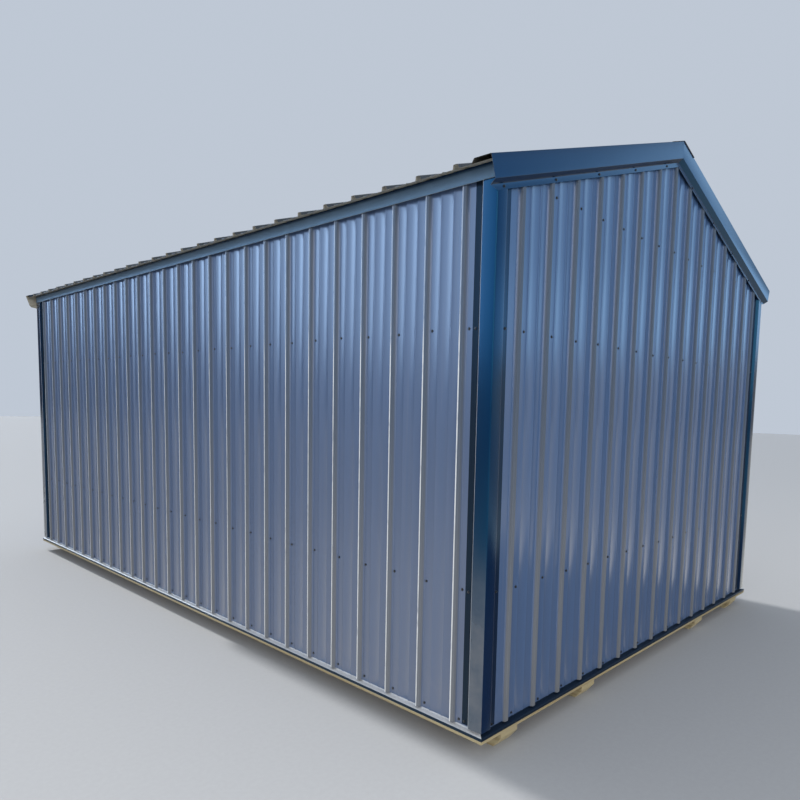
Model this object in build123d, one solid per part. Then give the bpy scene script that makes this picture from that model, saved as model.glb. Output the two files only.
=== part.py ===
from build123d import *
from math import atan, cos, radians, sin, tan
import os

# Portable storage shed: ribbed steel sheets on a timber post frame that stands on four timber skids.
# Millimetres. The origin is on the ground under the middle of the shed. X runs across the gable,
# Y along the ridge, Z up. The front gable faces -Y and the left wall faces -X.

# Timber frame, over the outer faces of its girts and rim boards
frame_width = 3554.0
frame_length = 6052.0
roof_height = 2686.0      # top of the purlins above the ground, at the outer face of a side wall
roof_rise = 4.0           # rise of the roof for each roof_run across
roof_run = 12.0

# Skids
skid_width = 140.0
skid_height = 89.0
skid_inset_outer = 200.0  # from the frame's side to the middle of an outer skid
skid_inset_inner = 955.0
skid_overhang = 20.0      # past the frame at each end
skid_bevel_length = 45.0
skid_bevel_height = 55.0

# Floor
joist_thick = 38.0
joist_height = 89.0
joist_count = 15
deck_thick = 18.0
batten_thick = 32.0       # strip on the foot of the rim boards
batten_height = 30.0

# Posts, girts and trusses
post_size = 89.0
bay_count = 5             # along a side wall
gable_post_spacing = 1180.0
girt_thick = 38.0
girt_height = 89.0
girt_pitch = 1207.0
girt_count = 2            # rows between the floor and the eave girt
first_girt_height = 778.0
truss_thick = 38.0
chord_depth = 89.0
purlin_thick = 38.0
purlin_width = 89.0
purlin_count = 4          # on each slope
purlin_eave_distance = 58.0
purlin_ridge_distance = 64.0

# Ribbed sheet
sheet_thick = 0.6
rib_pitch = 228.6
rib_height = 19.0
rib_base = 38.0
rib_crown = 22.0
minor_height = 3.5
minor_base = 20.0
minor_per_pitch = 2
ribs_per_sheet = 4
rib_margin = 150.0        # least distance from a corner to the middle of a rib
first_lap_rib = 3         # the rib, counted from one end, where the first two sheets lap
roof_rib_shift = -22.0    # the roof's ribs along Y, against those of the walls
lap_lip = 6.0
lap_cut = 6.0             # the covered edge stops this far above the flat
lap_gap = 0.1
skin_gap = 0.7            # between the timber and a sheet, where the trims' hidden flanges lie
sheet_foot_gap = 8.0      # from the base ledge up to the foot of the wall sheets
sheet_top_gap = 3.0       # from the wall sheets up to the roof
corner_foot_gap = 14.0    # from the base ledge up to the foot of the corner trims
sheet_corner_gap = 0.5
roof_eave_overhang = 102.0
ridge_opening = 15.0

# Bent trims
trim_thick = 0.6
trim_gap = 0.3            # between a trim and what it lies on
corner_face_side = 81.0
corner_face_gable = 69.0
corner_top_gap = 8.0
trim_bevel = 20.0
trim_flange = 34.0
base_drop = 15.0
base_flange = 40.0
eave_depth = 70.0
eave_kick = 5.0
eave_flange = 40.0
rake_overhang = 30.0      # the fascia's face past the corner trims
rake_depth = 98.0
rake_roof_leg = 92.0
rake_return_drop = 19.0   # the return slopes down by this much on its way back to the gable
rake_kick = 25.0
ridge_wing = 170.0
ridge_end = 4.0
mitre_gap = 0.1

# Sizes worked out from those above
roof_angle = atan(roof_rise / roof_run)
slope = roof_rise / roof_run
rib_shear = (rib_base - rib_crown) / 2 / rib_height
rib_mitre = tan(atan(1 / rib_shear) / 2)
half_width = frame_width / 2
half_length = frame_length / 2
floor_base = skid_height
deck_base = floor_base + joist_height
deck_top = deck_base + deck_thick
ledge = floor_base + batten_height
flat_out = skin_gap + sheet_thick
rib_out = skin_gap + rib_height + 2 * sheet_thick + lap_gap
face_in = rib_out + trim_gap
face_out = face_in + trim_thick
peak_height = roof_height + half_width * slope
slope_length = half_width / cos(roof_angle)
truss_base = roof_height - (purlin_thick + chord_depth) / cos(roof_angle)
wall_sheet_foot = ledge + trim_thick + sheet_foot_gap
wall_sheet_top = roof_height - rib_out * slope - sheet_top_gap
eave_start = -roof_eave_overhang / cos(roof_angle)


# Frames of reference

def wall_plane(side, height=0.0):
    """Plan of one wall at a height: x along the wall, y outwards from the timber's face, z up."""
    origins = {
        "front": ((0, -half_length, height), (-1, 0, 0)),
        "back": ((0, half_length, height), (1, 0, 0)),
        "left": ((-half_width, 0, height), (0, 1, 0)),
        "right": ((half_width, 0, height), (0, -1, 0)),
    }
    origin, along = origins[side]
    return Plane(origin=origin, x_dir=along, z_dir=(0, 0, 1))


def section_plane(side):
    """Section across one wall: x outwards from the timber's face, y up, z along the wall."""
    plan = wall_plane(side)
    return Plane(origin=plan.origin, x_dir=plan.y_dir, z_dir=plan.x_dir)


def slope_plane(side):
    """Slope of the roof seen from the eave: x along it, y out of the purlins' top, z to the ridge."""
    hand = -1 if side == "left" else 1
    uphill = (-hand * cos(roof_angle), 0, sin(roof_angle))
    return Plane(origin=(hand * half_width, 0, roof_height), x_dir=(0, -hand, 0), z_dir=uphill)


def half_run(side):
    """Half the length of the timber frame along one wall."""
    return half_width if side in ("front", "back") else half_length


# Solids

def block(low, high):
    """Rectangular solid between two corners."""
    size = [b - a for a, b in zip(low, high)]
    middle = [(a + b) / 2 for a, b in zip(low, high)]
    return Pos(*middle) * Box(*size)


def run(plane, outline, start, end):
    """Solid with a closed outline on a plane, from start to end along the plane's normal."""
    face = plane.offset(start) * make_face(Polyline(*outline, close=True))
    return extrude(face, amount=end - start, dir=plane.z_dir)


def offset_line(points, distance):
    """The line moved to its left by a distance, with its corners mitred."""
    vectors = [Vector(*point) for point in points]
    steps = [(b - a).normalized() for a, b in zip(vectors, vectors[1:])]
    steps = [steps[0]] + steps + [steps[-1]]
    moved = []
    for point, before, after in zip(vectors, steps, steps[1:]):
        mitre = (before + after).normalized()
        reach = distance / mitre.dot(after)
        moved.append((point.X - mitre.Y * reach, point.Y + mitre.X * reach))
    return moved


def bent_sheet(points, thickness):
    """Closed outline of a sheet bent along a line, with its thickness on the line's left."""
    return list(points) + offset_line(points, thickness)[::-1]


def mitre_block(side, height):
    """Region that belongs to one wall where runs round the shed meet at 45 degrees."""
    reach = 4 * batten_thick
    half = half_run(side) - mitre_gap
    outline = [(-half - reach, reach), (half + reach, reach), (half - reach, -reach), (-half + reach, -reach)]
    return run(wall_plane(side), outline, 0, height)


def save(name, *solids):
    """Writes one named part, made of one or more solids."""
    shape = solids[0] if len(solids) == 1 else Compound(children=list(solids))
    shape.label = name
    export_step(shape, f"parts/{name}.step")


# Ribbed sheet: the line is the sheet's inner face, and its thickness lies outwards.

def rib_half(level, layer):
    """Half the width of a major rib at a level, for a sheet raised by a layer on the one below."""
    return rib_base / 2 + layer * rib_mitre - (level - layer) * rib_shear


def rib(middle, layer=0.0, left_level=0.0, right_level=0.0):
    """Four corners of a major rib, each flank going down to its own level."""
    crown = rib_height + layer
    return [
        (middle - rib_half(left_level, layer), left_level),
        (middle - rib_half(crown, layer), crown),
        (middle + rib_half(crown, layer), crown),
        (middle + rib_half(right_level, layer), right_level),
    ]


def minor_ribs(middle):
    """The low ribs between the major rib at middle and the next one."""
    points = []
    for index in range(minor_per_pitch):
        place = middle + rib_pitch * (index + 1) / (minor_per_pitch + 1)
        points += [(place - minor_base / 2, 0), (place, minor_height), (place + minor_base / 2, 0)]
    return points


def sheet_line(ribs, start, end, over):
    """Line of one sheet. Start or end is None where that edge laps at the outermost rib."""
    raised = sheet_thick + lap_gap if over else 0.0
    points = [] if start is None else [(start, 0)]
    for index, middle in enumerate(ribs):
        laps_left = start is None and index == 0
        laps_right = end is None and index == len(ribs) - 1
        edge = raised if over else lap_cut
        corners = rib(middle, raised if laps_left or laps_right else 0.0,
                      edge if laps_left else 0.0, edge if laps_right else 0.0)
        if laps_left and over:
            points.append((corners[0][0] - lap_lip, raised))
        points += corners
        if laps_right and over:
            points.append((corners[-1][0] + lap_lip, raised))
        if index < len(ribs) - 1:
            points += minor_ribs(middle)
    return points if end is None else points + [(end, 0)]


def sheet_row(plane, timber_half, half, bottom, top, shift=0.0):
    """Row of sheets along a wall or a slope. Every second one covers its neighbours' edges."""
    rib_count = int(2 * (timber_half - rib_margin) / rib_pitch) + 1
    first = shift - (rib_count - 1) / 2 * rib_pitch
    ribs = [first + index * rib_pitch for index in range(rib_count)]
    laps = [-1] + list(range(first_lap_rib, rib_count - 1, ribs_per_sheet)) + [rib_count]
    sheets = []
    for index, (low, high) in enumerate(zip(laps, laps[1:])):
        over = index % 2 == 1
        start = -half if low < 0 else None
        end = half if high == rib_count else None
        line = sheet_line(ribs[max(low, 0):high + 1], start, end, over)
        outline = [(along, out + skin_gap) for along, out in bent_sheet(line, sheet_thick)]
        sheets.append(run(plane, outline, bottom, top))
    return sheets


# Skids and floor

def skid(middle):
    """One skid, with the lower edge of both ends cut back so that it slides."""
    reach = half_length + skid_overhang
    foot = reach - skid_bevel_length
    outline = [
        (-foot, 0), (foot, 0), (reach, skid_bevel_height), (reach, skid_height),
        (-reach, skid_height), (-reach, skid_bevel_height),
    ]
    return run(Plane.YZ, outline, middle - skid_width / 2, middle + skid_width / 2)


def floor_joists():
    """Joists across the skids, between the rim boards of the side walls."""
    spacing = (frame_length - 2 * joist_thick) / (joist_count + 1)
    reach = half_width - joist_thick
    joists = []
    for index in range(joist_count):
        middle = -half_length + joist_thick + (index + 1) * spacing
        low = (-reach, middle - joist_thick / 2, floor_base)
        joists.append(block(low, (reach, middle + joist_thick / 2, deck_base)))
    return joists


def board(side, reach, inner, outer, bottom, top):
    """Straight board along one wall, between two distances outwards from the timber's face."""
    outline = [(-reach, inner), (reach, inner), (reach, outer), (-reach, outer)]
    return run(wall_plane(side), outline, bottom, top)


def rim_board(side):
    """Edge board of the floor. The ones at the gables stand between those of the sides."""
    reach = half_run(side) - (joist_thick if side in ("front", "back") else 0)
    return board(side, reach, -joist_thick, 0, floor_base, deck_base)


def base_batten(side):
    """Strip round the foot of the rim boards. The ones on the side walls cover the others' ends."""
    reach = half_run(side) + (0 if side in ("front", "back") else batten_thick)
    return board(side, reach, 0, batten_thick, floor_base, ledge)


def base_trim(side):
    """Steel trim over the batten: flange behind the sheets, ledge, and drop over the face."""
    back = (skin_gap - trim_thick) / 2
    lip = batten_thick + trim_gap
    line = [(back, ledge + base_flange), (back, ledge + back), (lip, ledge + back), (lip, ledge - base_drop)]
    reach = half_run(side) + lip + trim_thick
    whole = run(section_plane(side), bent_sheet(line, trim_thick), -reach, reach)
    return whole & mitre_block(side, roof_height)


# Timber frame of the walls and the roof

def girt_levels():
    """Underside of each row of girts, with the eave girt last."""
    rows = [first_girt_height - girt_height / 2 + index * girt_pitch for index in range(girt_count)]
    return rows + [truss_base - girt_height]


def girts(side):
    """Rows of girts on the outside of the posts. The gables' ones stand between the others."""
    reach = half_run(side) - (girt_thick if side in ("front", "back") else 0)
    return [board(side, reach, -girt_thick, 0, level, level + girt_height) for level in girt_levels()]


def post(x, y):
    """Square post between the deck and the trusses."""
    half = post_size / 2
    return block((x - half, y - half, deck_top), (x + half, y + half, truss_base))


def bay_places():
    """Middle of each post along a side wall."""
    reach = half_length - girt_thick - post_size / 2
    return [-reach + 2 * reach * index / bay_count for index in range(bay_count + 1)]


def side_posts():
    """Posts of both side walls, the corner ones included."""
    x = half_width - girt_thick - post_size / 2
    return [post(hand * x, y) for hand in (-1, 1) for y in bay_places()]


def gable_posts():
    """The two posts of each gable that stand between its corners."""
    return [post(hand * gable_post_spacing / 2, y) for hand in (-1, 1)
            for y in (bay_places()[0], bay_places()[-1])]


def truss(y):
    """Triangular truss under the purlins, with its lower chord on the posts."""
    drop = purlin_thick / cos(roof_angle)
    inner_peak = peak_height - (purlin_thick + chord_depth) / cos(roof_angle)
    chord_top = truss_base + chord_depth
    inner_half = (inner_peak - chord_top) / slope
    outer = [(-half_width, truss_base), (half_width, truss_base), (half_width, roof_height - drop),
             (0, peak_height - drop), (-half_width, roof_height - drop)]
    inner = [(-inner_half, chord_top), (inner_half, chord_top), (0, inner_peak)]
    plane = Plane(origin=(0, y + truss_thick / 2, 0), x_dir=(1, 0, 0), z_dir=(0, -1, 0))
    return run(plane, outer, 0, truss_thick) - run(plane, inner, 0, truss_thick)


def trusses():
    """One truss over each pair of posts. The end ones stand flush with the gables' girts."""
    end = half_length - truss_thick / 2
    return [truss(y) for y in [-end] + bay_places()[1:-1] + [end]]


def purlins():
    """Purlins along both slopes, on the trusses."""
    last = slope_length - purlin_ridge_distance
    step = (last - purlin_eave_distance) / (purlin_count - 1)
    half = purlin_width / 2
    outline = [(-half_length, -purlin_thick), (half_length, -purlin_thick),
               (half_length, 0), (-half_length, 0)]
    solids = []
    for side in ("left", "right"):
        for index in range(purlin_count):
            middle = purlin_eave_distance + index * step
            solids.append(run(slope_plane(side), outline, middle - half, middle + half))
    return solids


# Steel sheets

def wall_sheets(side):
    """Sheets of a side wall, up to the eave."""
    half = half_length - sheet_corner_gap
    return sheet_row(wall_plane(side), half_length, half, wall_sheet_foot, wall_sheet_top)


def gable_sheets(side):
    """Sheets of a gable, cut along the two slopes of the roof."""
    half = half_width - sheet_corner_gap
    sheets = sheet_row(wall_plane(side), half_width, half, wall_sheet_foot, peak_height)
    top = peak_height - sheet_top_gap
    eave = top - half_width * slope
    outline = [(-half_width, 0), (half_width, 0), (half_width, eave), (0, top), (-half_width, eave)]
    reach = half_length + 2 * rib_out
    under_roof = run(Plane.XZ, outline, -reach, reach)
    return [sheet & under_roof for sheet in sheets]


def roof_sheets(side):
    """Sheets of one slope, from past the eave to the opening under the ridge cap."""
    hand = 1 if side == "left" else -1
    half = half_length + face_out + rake_overhang - 2 * trim_thick
    return sheet_row(slope_plane(side), half_length, half, eave_start, slope_length - ridge_opening,
                     hand * roof_rib_shift)


# Steel trims

def corner_leg(face):
    """Half of a corner trim's line, as along and out: flange on the flat of the sheets, and bevel."""
    seat = flat_out + trim_gap
    face_end = face_out - face
    foot = face_end - trim_bevel
    return [(foot - trim_flange, seat), (foot, seat), (face_end, face_in)]


def corner_trim(hand_x, hand_y):
    """Corner trim: a face on both walls, each with a bevel and a flange."""
    side_leg = [(out, along) for along, out in corner_leg(corner_face_side)]
    line = corner_leg(corner_face_gable) + [(face_in, face_in)] + side_leg[::-1]
    section = bent_sheet(line, trim_thick)
    outline = [(hand_x * (half_width + x), hand_y * (half_length + y)) for x, y in section]
    return run(Plane.XY, outline, ledge + trim_thick + corner_foot_gap, wall_sheet_top - corner_top_gap)


def eave_trim(side):
    """Fascia under the eave: flange on the purlin, face over the ribs, and a kick at its foot."""
    lift = (skin_gap - trim_thick) / 2 / cos(roof_angle)
    face = face_out + trim_gap
    top = roof_height - face * slope + lift
    line = [
        (-eave_flange, roof_height + eave_flange * slope + lift), (face, top),
        (face, top - eave_depth + eave_kick), (face + eave_kick, top - eave_depth),
    ]
    reach = half_length + face_out
    return run(section_plane(side), bent_sheet(line, trim_thick), -reach, reach)


def rake_trim(side, end):
    """Verge trim: flange on the roof, raised leg, fascia, sloping return and kick down the gable."""
    seat = flat_out + trim_gap
    fascia = face_out + rake_overhang - trim_thick
    leg_end = fascia - rake_roof_leg
    bottom = face_out + trim_thick - rake_depth
    return_foot = bottom - rake_return_drop
    wall = face_out + trim_gap
    line = [
        (leg_end - trim_bevel - trim_flange, seat), (leg_end - trim_bevel, seat), (leg_end, face_in),
        (fascia, face_in), (fascia, bottom), (wall, return_foot), (wall, return_foot - rake_kick),
    ]
    along = -1 if (side == "left") == (end == "front") else 1
    outline = [(along * (half_length + out), up) for out, up in bent_sheet(line, trim_thick)]
    whole = run(slope_plane(side), outline, eave_start, slope_length + rake_depth)
    hand = -1 if side == "left" else 1
    reach = 2 * frame_length
    half = block((mitre_gap, -reach, 0), (reach, reach, reach))
    past_wall = block((half_width + face_out, -reach, 0), (reach, reach, reach))
    kick_top = return_foot - 2 * trim_thick
    below = [(-reach, -reach), (reach, -reach), (reach, kick_top), (-reach, kick_top)]
    kick = run(slope_plane(side), below, 2 * eave_start, slope_length)
    if hand < 0:
        half = half.mirror(Plane.YZ)
        past_wall = past_wall.mirror(Plane.YZ)
    return (whole & half) - (kick & past_wall)


def ridge_cap():
    """Cap over the gap at the ridge, on the crowns of the ribs and on the verge trims."""
    lift = (face_out + trim_gap) / cos(roof_angle)
    reach = ridge_wing * cos(roof_angle)
    top = peak_height + lift
    line = [(-reach, top - reach * slope), (0, top), (reach, top - reach * slope)]
    length = half_length + face_out + rake_overhang + ridge_end
    return run(Plane.XZ, bent_sheet(line, trim_thick), -length, length)


os.makedirs("parts", exist_ok=True)
sides = ("left", "right")
ends = ("front", "back")

for side, hand in zip(sides, (-1, 1)):
    save(f"skid_{side}_outer", skid(hand * (half_width - skid_inset_outer)))
    save(f"skid_{side}_inner", skid(hand * (half_width - skid_inset_inner)))
save("floor_joists", *floor_joists())
save("side_rim_boards", *[rim_board(side) for side in sides])
save("end_rim_boards", *[rim_board(end) for end in ends])
save("floor_deck", block((-half_width, -half_length, deck_base), (half_width, half_length, deck_top)))
for wall in ends + sides:
    save(f"{wall}_base_batten", base_batten(wall))
    save(f"{wall}_base_trim", base_trim(wall))
save("wall_posts", *side_posts(), *gable_posts())
save("side_wall_girts", *[girt for side in sides for girt in girts(side)])
save("gable_girts", *[girt for end in ends for girt in girts(end)])
save("roof_trusses", *trusses())
save("roof_purlins", *purlins())
for side in sides:
    save(f"{side}_wall_sheets", *wall_sheets(side))
    save(f"{side}_roof_sheets", *roof_sheets(side))
    save(f"{side}_eave_trim", eave_trim(side))
for end, hand_y in zip(ends, (-1, 1)):
    save(f"{end}_gable_sheets", *gable_sheets(end))
    for side, hand_x in zip(sides, (-1, 1)):
        save(f"{end}_{side}_corner_trim", corner_trim(hand_x, hand_y))
        save(f"{end}_{side}_rake_trim", rake_trim(side, end))
save("ridge_cap", ridge_cap())
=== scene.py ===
import math
import bpy
import numpy as np
from mathutils import Matrix, Vector


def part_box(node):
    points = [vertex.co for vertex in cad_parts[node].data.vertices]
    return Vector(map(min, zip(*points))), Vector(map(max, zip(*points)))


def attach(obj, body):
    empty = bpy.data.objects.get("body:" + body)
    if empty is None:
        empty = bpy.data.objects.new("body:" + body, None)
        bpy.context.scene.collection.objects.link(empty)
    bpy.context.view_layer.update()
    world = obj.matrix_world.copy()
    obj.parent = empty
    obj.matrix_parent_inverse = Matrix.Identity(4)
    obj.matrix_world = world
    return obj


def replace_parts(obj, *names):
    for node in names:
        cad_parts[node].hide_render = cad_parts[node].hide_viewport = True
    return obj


# Portable storage shed, dressed over its solids. Metres: X across the gable, Y along the ridge, Z up.

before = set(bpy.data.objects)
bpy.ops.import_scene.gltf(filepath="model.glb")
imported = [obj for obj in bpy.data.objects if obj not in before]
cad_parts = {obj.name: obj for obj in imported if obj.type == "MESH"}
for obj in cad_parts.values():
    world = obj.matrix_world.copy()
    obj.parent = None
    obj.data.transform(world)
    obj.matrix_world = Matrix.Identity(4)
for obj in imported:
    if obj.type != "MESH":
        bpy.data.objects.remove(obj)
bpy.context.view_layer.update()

MM = 0.001

# Ribbed sheet, as on the solids, with the bends of the rolled steel
SHEET = 0.6 * MM
RIB_PITCH = 228.6 * MM
RIB_HEIGHT = 19.0 * MM
RIB_BASE = 38.0 * MM
RIB_CROWN = 22.0 * MM
RIB_BEND = 5.0 * MM
MINOR_HEIGHT = 3.5 * MM
MINOR_BASE = 20.0 * MM
MINOR_BEND = 9.0 * MM
MINOR_PER_PITCH = 2
RIBS_PER_SHEET = 4
RIB_MARGIN = 150.0 * MM
FIRST_LAP_RIB = 3
ROOF_RIB_SHIFT = -22.0 * MM
LAP_LIP = 6.0 * MM
LAP_CUT = 6.0 * MM
LAP_GAP = 0.1 * MM
SKIN_GAP = 0.7 * MM
SHEET_CORNER_GAP = 0.5 * MM
SHEET_TOP_GAP = 3.0 * MM
ROOF_EAVE_OVERHANG = 102.0 * MM
RIDGE_OPENING = 15.0 * MM
GLINT_INSET = 4.0 * MM        # the outer bends painted pale as a highlight start this far inside the crown's edge
GLINT_LEVEL = 0.75            # and lie above this share of the rib's height
SHEET_ROWS = {"wall": 25, "roof": 13}    # rows of corners up a sheet
FIRST_PURLIN = 58.0 * MM     # screws' rows on the roof, from the wall and from the ridge
LAST_PURLIN = 64.0 * MM
PURLINS = 4

# Bent trims
TRIM = 0.6 * MM
TRIM_GAP = 0.3 * MM
TRIM_BEND = 1.8 * MM
CORNER_FACE = {"side": 81.0 * MM, "gable": 69.0 * MM}
CORNER_BEND = 4.0 * MM
CORNER_TOP_GAP = 8.0 * MM
TRIM_BEVEL = 20.0 * MM
TRIM_FLANGE = 34.0 * MM
MITRE_GAP = 0.1 * MM
BEND_MARK = 1.3 * MM         # how far a mark on a bend reaches to each side
BASE_FLANGE = 40.0 * MM
EAVE_DEPTH = 70.0 * MM
EAVE_KICK = 5.0 * MM
EAVE_FLANGE = 40.0 * MM
EAVE_LAP = 60.0 * MM
EAVE_LAP_PLACE = 0.35        # middle of the lap, along the eave
EAVE_LAP_STEP = 1.0 * MM     # from the covered length's end to the cover's end
RAKE_OVERHANG = 30.0 * MM
RAKE_DEPTH = 98.0 * MM
RAKE_ROOF_LEG = 92.0 * MM
RAKE_RETURN_DROP = 19.0 * MM
RAKE_KICK = 25.0 * MM
RIDGE_WING = 170.0 * MM
RIDGE_BEND = 6.0 * MM
RIDGE_END = 4.0 * MM
FLANGE_SHADE = {"side": 0.85, "gable": 0.35}    # how much dark dull paint the corner trims' flanges take: painted shade from the bevels
# share of the painted highlight on the gable side's bend of a corner trim
GABLE_BEND_GLINT = 0.15
# how much dark dull paint the base trims take: painted shade
BASE_SHADE = 0.75
ROOF_TRIM_DULL = 0.65

# Skids
SKID_BEVEL_LENGTH = 45.0 * MM
SKID_BEVEL_HEIGHT = 55.0 * MM
SKID_ARRIS = 5.0 * MM        # radius of the worn edges
SKID_ARRIS_POINTS = 5
SKID_ROWS = 40               # rows of corners between the last ones near the ends
SKID_ROWS_END = 200.0 * MM
SKID_WAVE = 0.35 * MM        # height of the waves in the sawn faces
SKID_WAVE_RATES = (9.0, 23.0)    # radians a metre
SKID_SETTLE = 1.2 * MM       # how far the lower half is pressed down on to the ground

# Screws
HEAD_FLATS = 8.0 * MM
HEAD_HEIGHT = 4.6 * MM
HEAD_BEVEL = (0.6 * MM, 0.5 * MM)    # inwards and down
HEAD_FOOT = 0.2 * MM         # height of the slope between the flange and the head
FLANGE_RADIUS = 5.6 * MM
FLANGE_THICK = 0.9 * MM
FLANGE_SINK = 0.9            # share of the washer's thickness at which the flange's foot lies
WASHER_RADIUS = 7.2 * MM
WASHER_THICK = 1.3 * MM
WASHER_BEVEL = 0.7 * MM
WASHER_EDGE = 0.6            # share of the washer's thickness below its bevel
SCREW_SCATTER = (3.0 * MM, 0.0, 4.0 * MM)    # how far a screw is off its true place
WALL_ROWS = [0.152, 0.778, 1.985]
GABLE_ROWS = [0.142, 0.778, 1.985, 2.646]
WALL_SCREW_SHIFT = -33.0 * MM    # from the middle of a rib, along the wall
GABLE_SCREW_SHIFT = 57.0 * MM
ROOF_SCREW_SHIFT = 35.0 * MM
RAKE_SCREW_PITCH = 398.5 * MM
RAKE_SCREW_START = -1756.0 * MM  # the first screw in the kick, across the gable
VERGE_SCREW_PITCH = 400.0 * MM
VERGE_SCREW_START = 50.0 * MM
VERGE_SCREW_END = 200.0 * MM     # from the ridge
CAP_SCREW_EDGE = 30.0 * MM       # from the cap's edge

SLOPE = 4.0 / 12.0
PITCH = math.atan(SLOPE)
ENDS = ("front", "back")
SIDES = ("left", "right")

ARC_STEPS = 3
ARC_SHARE = 0.45             # the most that an arc takes of the straight runs beside it
NEARLY_STRAIGHT = math.radians(89.5)    # half the angle at a corner that needs no arc
SMOOTH_ANGLE = math.radians(35.0)

# Places read from the solids
HALF_WIDTH, HALF_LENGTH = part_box("floor_deck")[1].xy
WALL_FOOT, WALL_TOP = (corner.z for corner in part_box("left_wall_sheets"))
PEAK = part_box("front_gable_sheets")[1].z + SHEET_TOP_GAP
EAVE_HEIGHT = PEAK - HALF_WIDTH * SLOPE
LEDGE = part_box("left_base_batten")[1].z
BASE_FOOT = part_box("left_base_trim")[0].z
BATTEN = -HALF_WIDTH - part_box("left_base_batten")[0].x
SKID_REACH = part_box("skid_left_outer")[1].y
SKID_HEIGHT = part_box("skid_left_outer")[1].z
CORNER_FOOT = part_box("front_left_corner_trim")[0].z
SLOPE_LENGTH = HALF_WIDTH / math.cos(PITCH)
EAVE_START = -ROOF_EAVE_OVERHANG / math.cos(PITCH)

# Distances outwards from the timber's face
FLAT_OUT = SKIN_GAP + SHEET
RIB_OUT = FLAT_OUT + RIB_HEIGHT + SHEET + LAP_GAP
FACE_IN = RIB_OUT + TRIM_GAP
FACE_OUT = FACE_IN + TRIM
TRIM_SEAT = FLAT_OUT + TRIM_GAP
CAP_OUT = FACE_OUT + TRIM_GAP

rng = np.random.default_rng(7)
SKIPPED_NUMBERS = 72         # the skids and the screws take theirs after these
rng.random(SKIPPED_NUMBERS)


# Frames of reference: origin, along the ribs' row, outwards, up the sheet

def wall_axes(side):
    """Axes of one wall, from the ground under the middle of its timber face."""
    places = {
        "front": (0, -HALF_LENGTH), "back": (0, HALF_LENGTH),
        "left": (-HALF_WIDTH, 0), "right": (HALF_WIDTH, 0),
    }
    runs = {"front": (-1, 0), "back": (1, 0), "left": (0, 1), "right": (0, -1)}
    (x, y), (u, v) = places[side], runs[side]
    return np.array([(x, y, 0), (u, v, 0), (-v, u, 0), (0, 0, 1)], float)


def slope_axes(side):
    """Axes of one slope of the roof, from the purlins' top over the middle of the side wall."""
    hand = -1 if side == "left" else 1
    c, s = math.cos(PITCH), math.sin(PITCH)
    origin = (hand * HALF_WIDTH, 0, EAVE_HEIGHT)
    return np.array([origin, (0, -hand, 0), (hand * s, 0, c), (-hand * c, 0, s)], float)


def section_axes(side):
    """Axes for a section across one wall: outwards, up, then along the wall."""
    origin, along, out, up = wall_axes(side)
    return np.array([origin, out, up, along])


def half_run(side):
    """Half the length of the timber frame along one wall."""
    return HALF_WIDTH if side in ENDS else HALF_LENGTH


# Meshes as arrays of corners and lists of face arrays

def placed(axes, points):
    """Origin plus each coordinate times its axis."""
    return axes[0] + points @ axes[1:]


def joined(parts):
    """Several (corners, face arrays) pairs as one pair."""
    counts = np.cumsum([0] + [len(verts) for verts, _ in parts])
    faces = [group + count for (_, groups), count in zip(parts, counts) for group in groups]
    return np.concatenate([verts for verts, _ in parts]), faces


def grid_faces(rows, columns):
    """Quads between the rows of a grid whose last column joins its first one."""
    row = np.arange(rows - 1)[:, None] * columns
    column = np.arange(columns)
    following = (column + 1) % columns
    quads = [row + column, row + following, row + following + columns, row + column + columns]
    return np.stack(quads, -1).reshape(-1, 4)


def piece(name, body, slot, material, **attributes):
    """A mesh object from arrays, which rides with the shed. Attributes hold one value a corner."""
    verts, groups = body
    mesh = bpy.data.meshes.new(name)
    mesh.from_pydata(verts.tolist(), [], [face for group in groups for face in group.tolist()])
    mesh.materials.append(material)
    mesh.shade_smooth()
    mesh.set_sharp_from_angle(angle=SMOOTH_ANGLE)
    for key, values in attributes.items():
        mesh.attributes.new(key, "FLOAT", "POINT").data.foreach_set("value", values)
    made = bpy.data.objects.new(name, mesh)
    bpy.context.scene.collection.objects.link(made)
    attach(made, "root")
    return made


def rounded(points, radius):
    """A bent line whose corners are swapped for arcs of one radius.

    Each arc touches both straight runs: its centre lies on their bisector at radius / sin(half angle),
    and its points turn about that centre in equal steps.
    """
    points = np.asarray(points, float)
    line = [points[0]]
    for before, corner, after in zip(points, points[1:], points[2:]):
        back, ahead = before - corner, after - corner
        lengths = np.linalg.norm(back), np.linalg.norm(ahead)
        back, ahead = back / lengths[0], ahead / lengths[1]
        half = math.acos(np.clip(back @ ahead, -1, 1)) / 2
        if half > NEARLY_STRAIGHT:
            line.append(corner)
            continue
        reach = min(radius / math.tan(half), ARC_SHARE * min(lengths))
        centre = corner + (back + ahead) / np.linalg.norm(back + ahead) * reach / math.cos(half)
        first, last = corner + back * reach - centre, corner + ahead * reach - centre
        turn = math.atan2(first[0] * last[1] - first[1] * last[0], first @ last)
        angles = np.linspace(0, turn, ARC_STEPS + 1)
        line += list(centre + np.stack([np.cos(angles) * first[0] - np.sin(angles) * first[1],
                                        np.sin(angles) * first[0] + np.cos(angles) * first[1]], 1))
    return np.array(line + [points[-1]])


def moved_left(line, distance):
    """The line moved to its left: each point goes along its corner's mitre, distance / cos(half turn)."""
    steps = np.diff(line, axis=0)
    steps /= np.linalg.norm(steps, axis=1)[:, None]
    before, after = np.vstack([steps[:1], steps]), np.vstack([steps, steps[-1:]])
    mitre = before + after
    mitre /= np.linalg.norm(mitre, axis=1)[:, None]
    reach = distance / (mitre * after).sum(1)
    return line + np.stack([-mitre[:, 1], mitre[:, 0]], 1) * reach[:, None]


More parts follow.
